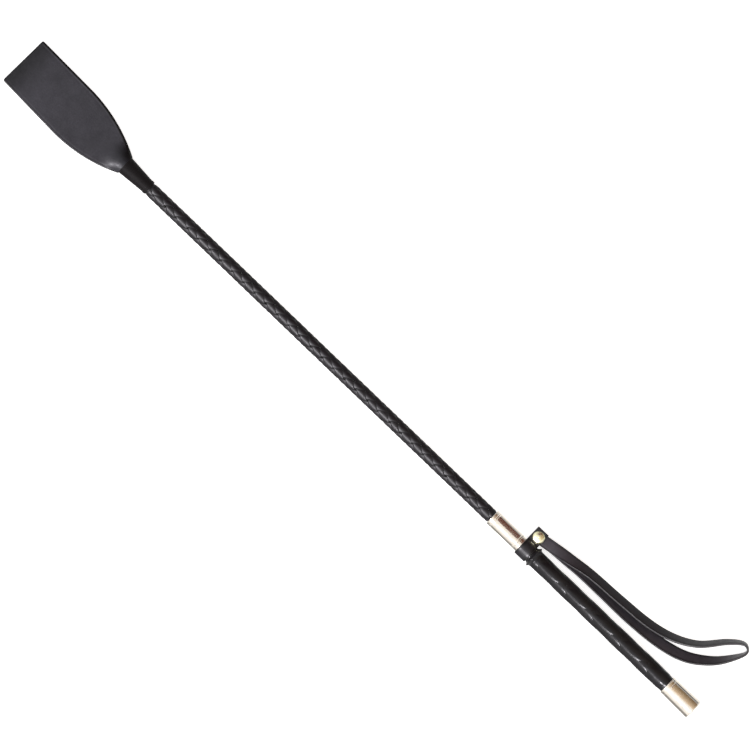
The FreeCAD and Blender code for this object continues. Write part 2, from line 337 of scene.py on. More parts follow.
def leather(name, colour, roughness, grain=1.6, depth=0.05, pebble=0.0, edge=None, from_mesh=True,
            specular=0.3, vary=0.08, edge_roughness=None):
    """Dyed leather: grain and pores, uneven dye, shine that varies, and a cut edge of its own colour.
    On the strap the lighter cut edge is also a painted highlight, and on the shaft the dark band
    at the strands' edges is also painted shade.

    edge is the cut edge's colour, and where across the strap it starts and is full."""
    material, tree, shader = start_material(name)
    place = grain_place(tree, from_mesh)
    dye = noise(tree, place, 0.055, 3.0)
    mottle = noise(tree, place, 0.8, 4.0)
    tint = ramp(tree, dye, [(0.3, scaled(colour, 0.8)), (0.7, scaled(colour, 1.22))])
    tint = mixed(tree, 0.35, tint, ramp(tree, mottle, [(0.35, 0.55), (0.65, 1.0)]), "MULTIPLY")
    if from_mesh:
        # The tone mark scales the colour: the flesh side's own lighter colour, and painted light and shade on
        # the strap and the tongue.
        tone = add(tree, "ShaderNodeAttribute", attribute_name="tone").outputs["Fac"]
        darker = add(tree, "ShaderNodeVectorMath", operation="SCALE")
        tree.links.new(tint, darker.inputs[0])
        tree.links.new(tone, darker.inputs["Scale"])
        tint = darker.outputs["Vector"]
    if edge is not None:
        edge_colour, edge_start, edge_full = edge
        mask = edge_mask(tree, edge_start, edge_full)
        tint = mixed(tree, mask, tint, edge_colour)
    tree.links.new(tint, shader.inputs["Base Color"])
    rubbed = noise(tree, place, 0.35, 3.0)
    shine = ramp(tree, rubbed, [(0.3, roughness - vary), (0.7, roughness + vary)])
    if edge is not None and edge_roughness is not None:
        shine = mixed(tree, mask, shine, (edge_roughness,) * 3)
    tree.links.new(shine, shader.inputs["Roughness"])
    shader.inputs["Specular IOR Level"].default_value = specular
    normal = bump(tree, noise(tree, place, grain, 4.0, 0.6), depth)
    if pebble:
        normal = bump(tree, pebbles(tree, place, grain * 0.8), pebble, normal)
    tree.links.new(normal, shader.inputs["Normal"])
    return material


def plated(name, colour, roughness):
    """Thin gold-coloured plate: fine scratches, faint tarnish and finger-dulled shine."""
    material, tree, shader = start_material(name)
    place = grain_place(tree)
    tarnish = noise(tree, place, 0.22, 4.0)
    tint = ramp(tree, tarnish, [(0.35, scaled(colour, 0.93)), (0.7, colour)])
    tree.links.new(tint, shader.inputs["Base Color"])
    shader.inputs["Metallic"].default_value = 1.0
    dulled = noise(tree, place, 0.6, 5.0)
    shine = ramp(tree, dulled, [(0.35, roughness), (0.75, roughness + 0.1)])
    tree.links.new(shine, shader.inputs["Roughness"])
    scratches = noise(tree, place, 2.0, 2.0, 0.5, (8.0, 1.0, 1.0))
    tree.links.new(bump(tree, scratches, 0.004), shader.inputs["Normal"])
    return material


def thread(name, colour):
    """Waxed thread: twisted fibres that catch a little light."""
    material, tree, shader = start_material(name)
    place = grain_place(tree)
    fibres = noise(tree, place, 3.5, 3.0, 0.6, (0.35, 2.0, 1.0))
    tint = ramp(tree, fibres, [(0.3, scaled(colour, 0.6)), (0.7, scaled(colour, 1.7))])
    tree.links.new(tint, shader.inputs["Base Color"])
    shader.inputs["Roughness"].default_value = 0.55
    shader.inputs["Specular IOR Level"].default_value = 0.12
    tree.links.new(bump(tree, fibres, 0.05), shader.inputs["Normal"])
    return material


def plain_stuff(name, colour, roughness, scale, depth, stretch=None):
    """The hidden pieces: fibreglass, padding and wood, each with its own fine texture."""
    material, tree, shader = start_material(name)
    place = grain_place(tree, from_mesh=False)
    texture = noise(tree, place, scale, 4.0, 0.6, stretch)
    tint = ramp(tree, texture, [(0.3, scaled(colour, 0.75)), (0.7, scaled(colour, 1.15))])
    tree.links.new(tint, shader.inputs["Base Color"])
    shader.inputs["Roughness"].default_value = roughness
    tree.links.new(bump(tree, texture, depth), shader.inputs["Normal"])
    return material


# The shaft's strands darken across the outer third of each side: partly the edges' own dark dye, partly
# painted shade in the grooves between strands.
SHAFT_LEATHER = leather("shaft_leather", (0.0085, 0.0065, 0.0088), roughness=0.45, grain=1.8, depth=0.025,
                        edge=((0.003, 0.0025, 0.003), 0.66, 0.92), specular=0.34, edge_roughness=1.0)
GRIP_LEATHER = leather("grip_leather", (0.0150, 0.0140, 0.0158), roughness=0.235, grain=1.5, depth=0.006,
                       edge=((0.006, 0.0055, 0.006), 0.96, 1.0), specular=0.24, vary=0.02)
# The tongue's blackened edge is edge dye, with painted shade added along its -Y side.
TONGUE_LEATHER = leather("tongue_leather", (0.037, 0.0352, 0.0445), roughness=0.41, grain=1.4, depth=0.02,
                         pebble=0.03, edge=((0.0030, 0.0025, 0.0030), 0.25, 0.6), specular=0.20)
# The strap's cut edges are lighter: partly the raw edge's own colour, partly a painted highlight along them.
STRAP_LEATHER = leather("strap_leather", (0.0190, 0.0170, 0.0205), roughness=0.38, grain=1.7, depth=0.02,
                        edge=((0.050, 0.046, 0.050), 0.93, 0.99), specular=0.30)
THREAD = thread("binding_thread", (0.0095, 0.0075, 0.0078))
GOLD = plated("gold_metal", (0.96, 0.89, 0.78), roughness=0.13)
BRASS = plated("rivet_brass", (0.96, 0.92, 0.62), roughness=0.24)
FIBREGLASS = plain_stuff("fibreglass", (0.72, 0.70, 0.60), roughness=0.3, scale=0.6, depth=0.02,
                         stretch=(0.1, 3.0, 3.0))
PADDING = plain_stuff("padding", (0.02, 0.02, 0.02), roughness=0.8, scale=2.5, depth=0.08)
WOOD = plain_stuff("plug_wood", (0.42, 0.28, 0.16), roughness=0.6, scale=1.2, depth=0.05,
                   stretch=(0.3, 2.0, 2.0))
INNER_LEATHER = leather("inner_leather", (0.030, 0.030, 0.034), roughness=0.6, from_mesh=False)
INNER_THREAD = plain_stuff("inner_thread", (0.010, 0.010, 0.011), roughness=0.7, scale=3.0, depth=0.06)


def paint_inner_nodes():
    """The CAD nodes that stay keep their shape and get a finished material."""
    finishes = {
        "core_rod": FIBREGLASS, "ferrule_liner": PADDING, "grip_tube": PADDING, "butt_plug": WOOD,
        "tip_whipping": INNER_THREAD, "grip_end_whipping": INNER_THREAD,
        "tongue_front_tail": INNER_LEATHER, "tongue_back_tail": INNER_LEATHER,
    }
    for node, material in finishes.items():
        for place in frame["nodes"][node].material_slots:
            place.material = material


# ------------------------------------------------------------------ braided strands

SHAFT_CROWN = 0.62
SHAFT_SWELL_RUN = 1.5
GRIP_CROWN = 0.1
GRIP_IN_CAP_R = 6.2
GRIP_TOP_R = 6.38
GRIP_SWELL = 0.25
GRIP_SWELL_RUN = 5.0


def over_under(phase, sharpness):
    """A strand's rise, 1 on top and -1 underneath: long flat spans with quick dives between them."""
    away = np.arccos(np.clip(np.cos(math.pi * phase), -1, 1)) / (math.pi / 2)
    return np.where(away < 1, 1 - away ** sharpness, (2 - away) ** sharpness - 1)


def braid_strand(name, lay, number, braid, material):
    """One strand of a round over-and-under braid. lay is +1 or -1, the way it winds.

    At every place on the braid a strand of one lay crosses a strand of the other. Which of the two
    is on top changes from one crossing to the next, so a strand rides over, under, over.

    braid holds its numbers, in mm where they are lengths. strands is how many each lay has, and pitch
    how far one runs in a full turn. first and turn are where the pattern starts, along the crop and
    round it. fill is how much of its room a strand takes. lift is half the rise from under to over,
    and sharp makes the dives between them quicker. roll is how far a strand's edges fall, and shoulder
    how close to the edge they start to. uneven is how much a strand wanders. section is the number of
    points across, and width the leather's width, for its grain. radius(x) is how far out the strands'
    crowns stand."""
    side = np.linspace(-1, 1, braid["section"])
    across = np.concatenate([side, side[::-1]])
    on_top = np.concatenate([np.ones(len(side)), np.zeros(len(side))])
    count, pitch = braid["strands"], braid["pitch"]
    stations = np.arange(braid["start"], braid["end"] + 1e-6, braid["step"])
    seed = number + (0.5 if lay > 0 else 0.0)
    rings, places, edges = [], [], []
    for x in stations:
        width = braid["fill"] * (1 + braid["uneven"] * 0.5 * wander(x, seed))
        offset = across * width / 2 + braid["uneven"] * 0.35 * wander(x * 1.3, seed + 7)
        own, along = number + offset, x - braid["first"]
        other = own + 2 * lay * count * along / pitch
        phase = other + number + (0 if lay > 0 else 1)
        rise = over_under(phase, braid["sharp"])
        angle = braid["turn"] + TAU * (own / count + lay * along / pitch)
        roll = braid["roll"] * np.abs(across) ** braid["shoulder"] * np.sqrt(np.clip(rise, 0, 1))
        top = braid["radius"](x) - braid["lift"] * (1 - rise) - roll
        thick = braid["thick"] * (1 - 0.6 * np.abs(across) ** 3)
        radius = top - thick * (1 - on_top) + 0.015 * wander(x * 2.1 + offset * 9, seed) * on_top
        rings.append(np.stack([np.full_like(angle, x), radius * np.cos(angle), radius * np.sin(angle)], 1))
        places.append(np.stack([np.full_like(angle, x * 1.2), across * braid["width"] / 2,
                                seed * 40 + on_top], 1))
        edges.append(np.abs(across))
    return ring_stack(name, rings, material, place=places, edge=edges)


def make_strands(name, braid, material, slot, node):
    """Every strand of a braid, each its own piece on the handle."""
    for lay in (1, -1):
        side = "right" if lay > 0 else "left"
        for number in range(braid["strands"]):
            strand = braid_strand(f"{name}_{side}_{number + 1}", lay, number, braid, material)
            attach(strand, "handle", slot, node)


def make_shaft_braid():
    """Eight narrow strands, four of each lay, uneven and standing proud of each other."""
    low, high = node_span("shaft_braid")
    outer, ferrule_end = high[2], node_span("ferrule")[1][0]
    binding_start = node_span("tongue_binding")[0][0]

    def radius(x):
        """Full where it shows, and pressed down inside the ferrule and under the binding."""
        out_of_ferrule = smooth_step(x, ferrule_end, ferrule_end + SHAFT_SWELL_RUN)
        in_binding = smooth_step(x, binding_start - SHAFT_SWELL_RUN, binding_start)
        return outer + SHAFT_CROWN * float(out_of_ferrule * (1 - in_binding))

    braid = {
        "strands": 4, "pitch": 43.3, "start": low[0] + 0.2, "end": high[0] - 0.2, "step": 0.6,
        "fill": 0.94, "thick": 0.6, "lift": 0.34, "roll": 0.42, "sharp": 2.5, "shoulder": 2.3,
        "uneven": 0.19, "section": 15, "turn": math.radians(68), "first": 4.9, "width": 5.8,
        "radius": radius,
    }
    make_strands("shaft_strand", braid, SHAFT_LEATHER, "shaft_leather", "shaft_braid")


def grip_radius(x):
    """The grip's outer radius: held in by the cap, thickest above it, thinner towards the ring."""
    low, high = node_span("grip_braid")
    thickest = high[2] + GRIP_SWELL
    cap_end = node_span("butt_cap")[1][0]
    full = cap_end + GRIP_SWELL_RUN
    swell = GRIP_IN_CAP_R + (thickest - GRIP_IN_CAP_R) * smooth_step(x, cap_end, full)
    taper = (thickest - GRIP_TOP_R) * np.clip((x - full) / (high[0] - full), 0, 1)
    return float(swell - taper)


def make_grip_plait():
    """Four wide strands, two of each lay, close and nearly flush."""
    low, high = node_span("grip_braid")
    braid = {
        "strands": 2, "pitch": 52.4, "start": low[0] + 1.0, "end": high[0] + 1.3, "step": 0.6,
        "fill": 1.0, "thick": 0.9, "lift": 0.16, "roll": 0.62, "sharp": 4.5, "shoulder": 3.6,
        "uneven": 0.015, "section": 51, "turn": math.radians(10), "first": 19.2, "width": 15.5,
        "radius": lambda x: grip_radius(x) + GRIP_CROWN,
    }
    make_strands("grip_strand", braid, GRIP_LEATHER, "grip_leather", "grip_braid")


# ------------------------------------------------------------------ metal and grip ring

FERRULE_R = 5.9
FERRULE_BORE_R = 5.1
FERRULE_BEADS = (191.3, 169.9)
CAP_MOUTH_R = 7.0
CAP_EDGE_R = 1.3
TAB_FACE_Z = 2.9
RING_FOOT_R = 6.02
RING_BORE_R = 5.2


def make_ferrule():
    """A tube with a bead near each end, turned out a little where the shaft enters it."""
    low, high = node_span("ferrule")
    body, bore, bead = FERRULE_R, FERRULE_BORE_R, high[2]
    start, end = low[0], high[0]
    outline = [(start, bore), (end - 0.9, bore), (end - 0.3, bore - 0.25), (end, bore + 0.1),
               (end, body - 0.1), (end - 0.35, body + 0.12), (end - 1.0, body + 0.1), (end - 1.2, body)]
    for middle in FERRULE_BEADS:
        outline += [(middle + 0.95, body), (middle + 0.75, body - 0.12), (middle + 0.45, bead - 0.08),
                    (middle, bead), (middle - 0.45, bead - 0.08), (middle - 0.75, body - 0.12),
                    (middle - 0.95, body)]
    outline.append((start, body))
    ferrule = turned("ferrule_tube", rounded(outline, 0.12), GOLD, segments=128)
    attach(ferrule, "handle", "gold_metal", "ferrule")


def make_butt_cap():
    """A flared cap with a rounded end, a groove and a rim at its mouth."""
    _, high = node_span("butt_cap")
    butt, mouth, end, edge = high[2], CAP_MOUTH_R, high[0], CAP_EDGE_R
    rim = mouth + 0.2
    round_edge = [(edge - edge * math.cos(t), butt - edge + edge * math.sin(t))
                  for t in np.linspace(0, math.pi / 2, 8)]
    wall = [(end - 3.6, mouth + 0.06), (end - 3.4, mouth - 0.1), (end - 3.1, mouth - 0.1),
            (end - 2.9, mouth + 0.05), (end - 1.0, mouth), (end - 0.85, rim), (end - 0.1, rim)]
    inside = [(end, mouth - 0.3), (end - 0.4, mouth - 0.45), (edge, butt - 0.5), (0.8, butt - 1.4),
              (0.8, 0.02)]
    outline = [(0.0, 0.02)] + round_edge + rounded_open(wall) + inside
    cap = turned("butt_cap_shell", outline, GOLD, segments=128)
    attach(cap, "handle", "gold_metal", "butt_cap")


def make_rivet():
    """A domed cap on the tab's face, and a flat base with a dimple behind it."""
    pivot = joint_place("loop_swing")
    cap_low, cap_high = node_span("rivet_cap")
    base_low, base_high = node_span("rivet_base")
    radius = (cap_high[0] - cap_low[0]) / 2
    seat, top = TAB_FACE_Z, cap_high[2]
    dome = [(seat + (top - seat) * (0.22 + 0.78 * math.cos(t)), radius * 0.93 * math.sin(t))
            for t in np.linspace(0.02, math.pi / 2, 18)]
    rim = [(seat + 0.32, radius * 0.99), (seat + 0.12, radius), (seat - 0.02, radius * 0.97),
           (seat - 0.02, 0.02)]
    cap = turned("rivet_dome", dome + rim, BRASS, "z", (pivot[0], pivot[1], 0))
    attach(cap, "collar", "rivet_brass", "rivet_cap")
    base_radius = (base_high[0] - base_low[0]) / 2
    sole = base_low[2]
    profile = [(-seat + 0.02, 0.02), (-seat + 0.02, base_radius * 0.98), (-seat - 0.2, base_radius),
               (-seat - 0.55, base_radius * 0.85), (sole, base_radius * 0.55), (sole, 1.5),
               (sole + 0.35, 1.1), (sole + 0.4, 0.02)]
    base = turned("rivet_back", rounded(profile, 0.25), BRASS, "z", (pivot[0], pivot[1], 0))
    attach(base, "collar", "rivet_brass", "rivet_base")


def make_grip_ring():
    """A leather ring rolled to a ridge, a little lumpy, with a crease where its ends meet underneath."""
    low, high = node_span("grip_top_ring")
    crown, foot, inner, over_ferrule = high[2], RING_FOOT_R, RING_BORE_R, FERRULE_R + 0.03
    ridge = (low[0] + high[0]) / 2
    ferrule_start = node_span("ferrule")[0][0]
    start, end = low[0] - 0.2, ferrule_start + 0.17

    def lumps(x, angle):
        seam = math.exp(-((angle - 1.5 * math.pi - 0.3) / 0.05) ** 2)
        height = np.exp(-((x - ridge) / 1.5) ** 2)
        return height * (0.05 * math.sin(angle * 5 + 0.4) + 0.04 * math.sin(angle * 11) - 0.5 * seam)

    xs = np.linspace(start, end, 40)
    reach = np.where(xs < ridge, 1.35, 1.2)
    rise = np.exp(-(np.abs(xs - ridge) / reach) ** 1.7)
    foot = foot + 0.34 * (1 - smooth_step(xs, start, ridge))
    arc = list(zip(xs, foot + (crown - foot - 0.06) * rise))
    arc += [(end, over_ferrule), (ferrule_start - 0.1, over_ferrule), (ferrule_start - 0.1, inner),
            (start, inner)]
    ring = turned("grip_ring_roll", arc, GRIP_LEATHER, segments=160, ripple=lumps)
    attach(ring, "handle", "grip_leather", "grip_top_ring")


# ------------------------------------------------------------------ straps

SURFACE_Z = -8.0
STRAP_WIDTH = 8.6
STRAP_THICK = 1.6
STRAP_GAP = 0.05
PRESSED_LINE_INSET = 1.15
FLESH_TONE = 2.9
LOOP_HEADING = math.radians(189.0)
LOOP_LEAD = 14
LOOP_GAP = 1.6
LOOP_STEPS = 10
# How far from the rivet, in mm, the strap's painted light starts and finishes fading.
STRAP_PAINTED_LIGHT_FADE = (14.0, 58.0)
COLLAR_BORE_R = 5.95
COLLAR_THICK = 1.2
TAB_SLOT = 1.7
TAB_BEND_R = 2.2


def strap_outline(width, thick, corner):
    """The strap's section: points (across, up) in mm, with rounded edges and a pressed line near them."""
    half, deep = width / 2, thick / 2
    line = half - PRESSED_LINE_INSET
    top = [(-line - 0.22, deep), (-line, deep - 0.09), (-line + 0.22, deep), (-line * 0.7, deep + 0.02),
           (-line * 0.4, deep + 0.04), (0, deep + 0.05), (line * 0.4, deep + 0.04), (line * 0.7, deep + 0.02),
           (line - 0.22, deep), (line, deep - 0.09), (line + 0.22, deep)]
    bottom = [(line * across, -deep) for across in (1.0, 0.8, 0.6, 0.0, -0.6, -0.8, -1.0)]
    turn = (0.0, 0.3, 0.65, 1.0)

    def quarter(right, up, quarters):
        """The round of one corner. quarters are the places on it, as quarter turns from +across."""
        angles = [q * math.pi / 2 for q in quarters]
        return [(right * (half - corner) + corner * math.cos(angle),
                 up * (deep - corner) + corner * math.sin(angle)) for angle in angles]

    outline = quarter(-1, 1, [1 + t for t in reversed(turn)]) + top
    outline += quarter(1, 1, [1 - t for t in turn]) + quarter(1, -1, [-t for t in turn]) + bottom
    outline += quarter(-1, -1, [-1 - t for t in turn])
    return np.array(outline)


def ribbon(name, centres, acrosses, normals, width, thick, material, narrow=None, tone=None, corner=0.4,
           seed=0):
    """A strap along a line of centres, whose face looks along the normals."""
    outline = strap_outline(width, thick, corner)
    lengths = np.concatenate([[0], np.cumsum(np.linalg.norm(np.diff(centres, axis=0), axis=1))])
    rings, places, edges, tones = [], [], [], []
    # Lighter on the flesh side, and darker towards both edges on every face, from half-way out to near the
    # edge.
    flesh_and_borders = np.where(outline[:, 1] < -thick * 0.3, FLESH_TONE, 1.0)
    flesh_and_borders = flesh_and_borders * (1 - 0.8 * smooth_step(np.abs(outline[:, 0]) / (width / 2), 0.5, 0.93))
    for i, centre in enumerate(centres):
        squeeze = 1.0 if narrow is None else narrow[i]
        across = outline[:, 0] * squeeze
        ring = centre + np.outer(across, acrosses[i]) + np.outer(outline[:, 1], normals[i])
        rings.append(ring)
        places.append(np.stack([np.full(len(across), lengths[i]), across, outline[:, 1] + seed * 50], 1))
        edges.append(np.abs(outline[:, 0]) / (width / 2))
        tones.append(flesh_and_borders * (1.0 if tone is None else tone[i]))
    return ring_stack(name, rings, material, place=places, edge=edges, tone=tones)


# The wrist loop's middle line, given point by point: (x, y, lift above lying on the surface, tilt in
# degrees).
LOOP_ROUTE = [
    (134.0, -16.2, 5.8, 27), (116.0, -18.8, 3.9, 45), (90.0, -20.0, 2.5, 48), (64.0, -21.9, 1.0, 48),
    (45.0, -26.6, 0.1, 54), (29.0, -35.6, 0.1, 62), (16.0, -50.2, 0.1, 69), (6.5, -57.6, 0.1, 78),
    (1.0, -55.0, 0.1, 92), (4.5, -46.5, 0.1, 110), (14.0, -34.0, 0.1, 132), (29.0, -23.3, 0.1, 150),
    (48.0, -17.8, 0.1, 156), (74.0, -15.2, 0.2, 146), (100.0, -14.9, 0.8, 141), (122.0, -14.9, 2.0, 143),
    (136.0, -14.5, 4.2, 160),
]


def catmull_rom(a, b, c, d, t):
    """A place on the smooth curve from b to c, with t from 0 to 1."""
    return 0.5 * (2 * b + (c - a) * t + (2 * a - 5 * b + 4 * c - d) * t ** 2
                  + (3 * b - a - 3 * c + d) * t ** 3)


def strap_line():
    """The whole strap from one riveted end to the other: its centres, their tilts, how much narrower
    than full it is at each (its ends are round), and its heading where it leaves the rivet."""
    pivot = joint_place("loop_swing")
    hinge = joint_place("loop_flex")
    heading = np.array([math.cos(LOOP_HEADING), math.sin(LOOP_HEADING), 0])
    strand = STRAP_THICK / 2 + STRAP_GAP
    flat = SURFACE_Z + STRAP_THICK / 2
    start = hinge + heading * LOOP_GAP
    first = np.array([start[0], start[1], strand - flat, 0.0])
    last = np.array([start[0], start[1], -strand - flat, 180.0])
    lead = np.append(heading * LOOP_LEAD, 0.0)
    points = [first - lead, first] + [np.array(p, float) for p in LOOP_ROUTE] + [last, last - lead]
    stations = []
    for i in range(1, len(points) - 2):
        for step in range(LOOP_STEPS):
            stations.append(catmull_rom(*points[i - 1:i + 3], step / LOOP_STEPS))
    stations.append(points[-2])
    centres, tilts = [], []
    for x, y, lift, tilt in stations:
        turn = math.radians(tilt)
        half_height = abs(math.sin(turn)) * STRAP_WIDTH / 2 + abs(math.cos(turn)) * STRAP_THICK / 2
        centres.append(np.array([x, y, SURFACE_Z + half_height + lift]))
        tilts.append(turn)
    tip = STRAP_WIDTH / 2
    reach = np.linalg.norm(start - pivot)
    round_end = -tip * np.cos(np.linspace(0.08, math.pi / 2, 9))
    run = np.concatenate([round_end, np.linspace(0.8, reach - 0.8, 12)])
    lead_in = [pivot + heading * r + np.array([0, 0, strand]) for r in run]
    lead_out = [pivot + heading * r - np.array([0, 0, strand]) for r in reversed(run)]
    ends = np.sqrt(np.clip(1 - (np.minimum(run, 0) / tip) ** 2, 0.0, 1))
    narrow = np.concatenate([ends, np.ones(len(centres)), ends[::-1]])
    centres = np.array(lead_in + centres + lead_out)
    tilts = np.array([0.0] * len(run) + tilts + [math.pi] * len(run))
    return centres, tilts, narrow, heading


def strap_frames(centres, tilts, heading):
    """The across and face directions at each centre, tilted from flat."""
    forward = np.gradient(centres, axis=0)
    forward /= np.linalg.norm(forward, axis=1)[:, None]
    forward[0], forward[-1] = heading, -heading
    side = np.cross([0, 0, 1.0], forward)
    side /= np.linalg.norm(side, axis=1)[:, None]
    up = np.cross(forward, side)
    cosine, sine = np.cos(tilts)[:, None], np.sin(tilts)[:, None]
    return side * cosine - up * sine, side * sine + up * cosine


def make_wrist_strap():
    """One strip that bends where it leaves the tab. Near the rivet it is made lighter, as painted light
    on its flat run there.
    """
    centres, tilts, narrow, heading = strap_line()
    across, face = strap_frames(centres, tilts, heading)
    pivot = joint_place("loop_swing")
    from_pivot = np.linalg.norm(centres - pivot, axis=1)
    # Painted light: nearly three times as light by the rivet, where the strap lies flat and faces up, fading
    # out further along.
    tone = 1.1 + 2.0 * (1 - smooth_step(from_pivot, *STRAP_PAINTED_LIGHT_FADE))
    strap = ribbon("wrist_strap", centres, across, face, STRAP_WIDTH, STRAP_THICK - 0.06, STRAP_LEATHER,
                   narrow, tone)
    attach(strap, None, "strap_leather", "wrist_loop", "strap_front_end", "strap_back_end")
    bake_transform(strap)


def make_collar():
    """The strap round the ferrule: tab, round the tube, and back to the other side of the tab."""
    low, high = node_span("collar_strap")
    middle_x, width = (low[0] + high[0]) / 2, high[0] - low[0]
    thick, bend = COLLAR_THICK, TAB_BEND_R
    band = COLLAR_BORE_R + thick / 2 + 0.06
    tab_z = TAB_SLOT + thick / 2
    bend_y = -math.sqrt((band + bend) ** 2 - (tab_z + bend) ** 2)
    bend_z = tab_z + bend
    meet = math.atan2(bend_z, bend_y)
    path = [(y, tab_z) for y in np.linspace(low[1], bend_y - 0.3, 14)]
    for angle in np.linspace(-math.pi / 2, meet - math.pi, 10):
        path.append((bend_y + bend * math.cos(angle), bend_z + bend * math.sin(angle)))
    for angle in np.linspace(meet, 0, 40)[1:]:
        path.append((band * math.cos(angle), band * math.sin(angle)))
    path = np.array(path + [(y, -z) for y, z in reversed(path[:-1])])
    forward = np.gradient(path, axis=0)
    forward /= np.linalg.norm(forward, axis=1)[:, None]
    centres = np.stack([np.full(len(path), middle_x), path[:, 0], path[:, 1]], 1)
    across = np.tile([1.0, 0.0, 0.0], (len(path), 1))
    normals = np.stack([np.zeros(len(path)), -forward[:, 1], forward[:, 0]], 1)
    collar = ribbon("collar_band", centres, across, normals, width, thick, STRAP_LEATHER, corner=0.35, seed=3)
    attach(collar, "collar", "strap_leather", "collar_strap")


# ------------------------------------------------------------------ tongue and binding

BINDING_SHAFT_R = 5.3
BINDING_CONE_OFFSET = 3.6
TAILS_X = 534.0
OVER_TAILS_R = 5.0
OVER_SHAFT_R = 4.62
LEAF_START = 545.2
NECK_END = 552.0
NECK_X = 548.4
NECK_HALF = 7.7
TAIL_HALF = 5.9
WIDEST_X = 601.0
TONGUE_HALF = 20.0
TIP_HALF = 19.6
TIP_CORNER_R = 1.3
TIP_SKEW = 0.6
TIP_SKEW_RUN = 40.0
TONGUE_LEAN = math.radians(1.9)
TONGUE_DROP = 5.9
LEAF_THICK = 1.95
LEAF_CORE = 2.2
MOUND_FADE = (549.0, 566.0)
# Where the painted shade on the tongue's -Y edge narrows along the crop, in mm.
EDGE_SHADE_FADE = (555.0, 600.0)
# Where the painted shade in the hollow beside the tongue's neck is centred, and how far it spreads, in mm.
HOLLOW_SHADE_CENTRE = (551.5, -6.0)
HOLLOW_SHADE_SPREAD = (7.5, 4.6)


def binding_radius(x):
    """The winding's outer radius: a lip, a bump over the shaft, and a cone that opens to the tongue."""
    low, high = node_span("tongue_binding")
    run, length = x - low[0], high[0] - low[0]
    along_cone = np.clip((run - BINDING_CONE_OFFSET) / (length - BINDING_CONE_OFFSET), 0, 1)
    cone = BINDING_SHAFT_R + (high[2] - BINDING_SHAFT_R) * along_cone
    bump_up = 0.22 * np.exp(-((run - 1.7) / 0.9) ** 2)
    lip = 0.25 * (1 - smooth_step(run, 0, 1.0))
    return cone + bump_up - lip


def make_binding():
    """Waxed thread wound turn beside turn over the tongue's neck, on a thin under-layer."""
    low, high = node_span("tongue_binding")
    thread_r, pitch, per_turn, sides = 0.36, 0.70, 30, 8
    start, end = low[0] + thread_r, high[0] - thread_r
    count = int((end - start) / pitch * per_turn)
    rings, places = [], []
    for i in range(count + 1):
        turn = i / per_turn
        x = start + pitch * turn
        angle = TAU * turn
        radius = binding_radius(x) - thread_r
        outward = np.array([0, math.cos(angle), math.sin(angle)])
        centre = outward * radius + np.array([x, 0, 0])
        around = np.arange(sides) * TAU / sides
        swell = thread_r * (1.04 + 0.05 * wander(i * 0.9, 3))
        ring = centre + swell * (np.outer(np.cos(around), outward) + np.outer(np.sin(around), [1.0, 0, 0]))
        rings.append(ring)
        length = turn * TAU * radius
        twist = around + length * 2.2
        places.append(np.stack([np.full(sides, length), np.cos(twist), np.sin(twist)], 1))
    winding = ring_stack("binding_winding", rings, THREAD, place=places)
    attach(winding, "handle", "binding_thread", "tongue_binding")
    start, end = low[0] + 0.3, high[0] - 0.2
    outline = [(x, binding_radius(x) - thread_r * 1.25) for x in np.linspace(start, end, 24)]
    outline += [(end, OVER_TAILS_R), (TAILS_X + 0.5, OVER_TAILS_R), (TAILS_X - 0.5, OVER_SHAFT_R),
                (start, OVER_SHAFT_R)]
    under = turned("binding_underlayer", outline, THREAD, segments=64)
    attach(under, "handle", "binding_thread")


def tongue_half_width(x):
    """Half the leaf's width: narrow in the binding, round shoulders, widest before the middle."""
    run, rise = WIDEST_X - NECK_X, TONGUE_HALF - NECK_HALF
    shoulder_r = (run ** 2 + rise ** 2) / (2 * rise)
    if x >= WIDEST_X:
        end = node_span("tongue_back_leaf")[1][0]
        width = TONGUE_HALF + (TIP_HALF - TONGUE_HALF) * (x - WIDEST_X) / (end - WIDEST_X)
        past = max(0.0, x - (end - TIP_CORNER_R)) / TIP_CORNER_R
        return width - TIP_CORNER_R * (1 - math.sqrt(max(0.0, 1 - past ** 2)))
    if x >= NECK_X:
        return TONGUE_HALF - shoulder_r + math.sqrt(shoulder_r ** 2 - (WIDEST_X - x) ** 2)
    return TAIL_HALF + (NECK_HALF - TAIL_HALF) * float(smooth_step(x, NECK_X - 1.8, NECK_X + 0.1))


def tongue_centre(x):
    """Where the leaf's middle line is: (y, z). It leans a little and droops to the surface."""
    hinge = joint_place("tongue_flex")
    _, high = node_span("tongue_back_leaf")
    run = max(0.0, x - hinge[0])
    total = high[0] - hinge[0]
    bend_r = (total ** 2 + TONGUE_DROP ** 2) / (2 * TONGUE_DROP)
    return -math.tan(TONGUE_LEAN) * (x - hinge[0]), -(bend_r - math.sqrt(bend_r ** 2 - run ** 2))


def leaf_height(x, y, half, tip):
    """The face's height over the leaf's middle plane, y from its middle line."""
    edge = min(half - abs(y), tip - x)
    bevel, drop = (1.5, 0.9) if y < 0 else (0.8, 0.75)
    rounding = LEAF_THICK - drop + drop * math.sqrt(max(0.0, 1 - max(0.0, 1 - edge / bevel) ** 2))
    crease = 0.10 * math.exp(-((edge - bevel - 0.9) / 0.35) ** 2)
    fade = 1 - float(smooth_step(x, *MOUND_FADE))
    wide = NECK_HALF + max(0.0, x - NECK_X) * 0.30
    out = min(1.0, abs(y) / wide)
    mound = 3.6 * fade * ((1 - out ** 2) ** 0.9 * fade + math.cos(out * math.pi / 2) ** 2 * (1 - fade))
    thin_edge = 0.9 * fade * min(1.0, abs(y) / half) ** 4
    ripple = 0.05 * float(wander(x * 0.8 + y * 0.35, 2)) * (1 - fade)
    return rounding - crease + mound - thin_edge + ripple


